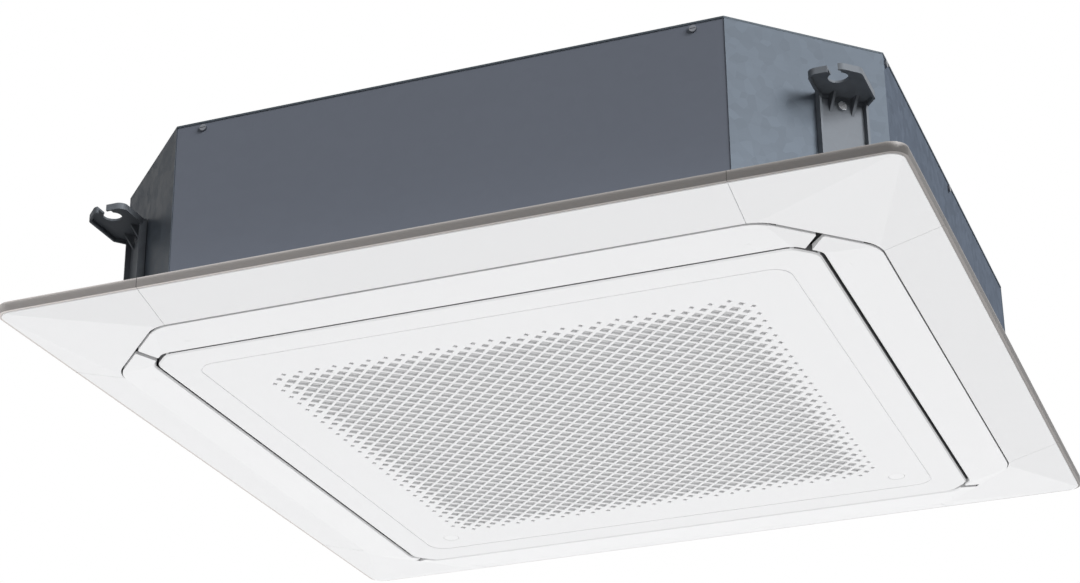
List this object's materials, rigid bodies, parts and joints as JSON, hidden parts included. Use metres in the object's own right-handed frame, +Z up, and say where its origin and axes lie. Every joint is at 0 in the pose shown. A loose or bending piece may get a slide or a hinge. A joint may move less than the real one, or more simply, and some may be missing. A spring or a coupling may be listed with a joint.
{
  "type": "ceiling cassette air conditioner",
  "caption": "Square ceiling cassette air conditioner: galvanised casing with hanger brackets above a white panel that has a perforated intake grille and hinged air vanes.",
  "frame": {"origin": "centre of the decoration panel in the ceiling's plane, which is the panel's upper face", "axes": "+Z up into the ceiling void, -Y the side on which the intake grille is hinged, +X the side opposite the pipes"},
  "size_m": [0.96, 0.95, 0.2315],
  "materials": {
    "white_panel": "satin",
    "grey_band": "satin",
    "foam": "matte",
    "black_plastic": "satin",
    "steel_pins": "satin",
    "filter": "matte",
    "galvanised": "satin",
    "bracket_steel": "satin",
    "zinc_screws": "gloss",
    "inner_plastic": "satin",
    "aluminium_fins": "satin",
    "copper": "satin",
    "rubber": "matte",
    "motor_steel": "satin"
  },
  "bodies": {
    "casing": {"panel_frame": "white_panel", "corner_cover_1": "white_panel", "corner_cover_2": "white_panel", "corner_cover_3": "white_panel", "corner_cover_4": "white_panel", "edge_band": "grey_band", "panel_seal": "foam", "foam_liner": "foam", "drain_pan": "foam", "vane_motors": "black_plastic", "drain_pump": "black_plastic", "float_switch": "black_plastic", "circuit_board": "black_plastic", "hinge_pins": "steel_pins", "latch_clips": "steel_pins", "side_plate_front": "galvanised", "side_plate_right": "galvanised", "side_plate_back": "galvanised", "side_plate_left": "galvanised", "corner_plates": "galvanised", "top_plate": "galvanised", "pipe_plate": "galvanised", "control_box": "galvanised", "control_cover": "galvanised", "hanger_bracket_1": "bracket_steel", "hanger_bracket_2": "bracket_steel", "hanger_bracket_3": "bracket_steel", "hanger_bracket_4": "bracket_steel", "casing_screws": "zinc_screws", "bracket_screws": "zinc_screws", "panel_bolts": "zinc_screws", "motor_bolts": "zinc_screws", "bell_mouth": "inner_plastic", "drain_spigot": "inner_plastic", "terminal_block": "inner_plastic", "coil_fins": "aluminium_fins", "coil_ends": "copper", "gas_pipe": "copper", "liquid_pipe": "copper", "rubber_grommets": "rubber", "motor_grommets": "rubber", "drain_hose": "rubber", "motor_lead": "rubber", "fan_motor": "motor_steel"},
    "fan": {"turbo_fan": "inner_plastic", "fan_shaft": "steel_pins", "fan_nut": "zinc_screws"},
    "grille": {"intake_grille": "white_panel", "filter_frame": "filter", "filter_mesh": "filter", "latch_spring_left": "steel_pins", "latch_spring_right": "steel_pins"},
    "latch_left": {"latch_button_left": "white_panel"},
    "latch_right": {"latch_button_right": "white_panel"},
    "pump_wheel": {"pump_impeller": "inner_plastic"},
    "float_body": {"float": "inner_plastic"},
    "vane_front_body": {"vane_front": "white_panel"},
    "vane_right_body": {"vane_right": "white_panel"},
    "vane_back_body": {"vane_back": "white_panel"},
    "vane_left_body": {"vane_left": "white_panel"}
  },
  "joints": [
    {"name": "fan_spin", "type": "hinge", "parent": "casing", "child": "fan", "pos_m": [0, 0, 0.1], "axis": [0, 0, 1], "continuous": true},
    {"name": "grille_hinge", "type": "hinge", "parent": "casing", "child": "grille", "pos_m": [0, -0.35, -0.027], "axis": [-1, 0, 0], "range_deg": [0, 40]},
    {"name": "vane_front_hinge", "type": "hinge", "parent": "casing", "child": "vane_front_body", "pos_m": [0, -0.368, -0.027], "axis": [1, 0, 0], "range_deg": [0, 42]},
    {"name": "vane_right_hinge", "type": "hinge", "parent": "casing", "child": "vane_right_body", "pos_m": [0.368, 0, -0.027], "axis": [0, 1, 0], "range_deg": [0, 42]},
    {"name": "vane_back_hinge", "type": "hinge", "parent": "casing", "child": "vane_back_body", "pos_m": [0, 0.368, -0.027], "axis": [-1, 0, 0], "range_deg": [0, 42]},
    {"name": "vane_left_hinge", "type": "hinge", "parent": "casing", "child": "vane_left_body", "pos_m": [-0.368, 0, -0.027], "axis": [0, -1, 0], "range_deg": [0, 42]},
    {"name": "latch_left_press", "type": "slide", "parent": "grille", "child": "latch_left", "axis": [0, 0, 1], "range_m": [0, 0.0025], "stiffness_N_per_m": 300, "springref_m": -0.004, "deforming": ["latch_spring_left"]},
    {"name": "latch_right_press", "type": "slide", "parent": "grille", "child": "latch_right", "axis": [0, 0, 1], "range_m": [0, 0.0025], "stiffness_N_per_m": 300, "springref_m": -0.004, "deforming": ["latch_spring_right"]},
    {"name": "pump_spin", "type": "hinge", "parent": "casing", "child": "pump_wheel", "pos_m": [-0.325, 0.325, 0.02], "axis": [0, 0, 1], "continuous": true},
    {"name": "float_lift", "type": "slide", "parent": "casing", "child": "float_body", "axis": [0, 0, 1], "range_m": [0, 0.012]}
  ]
}
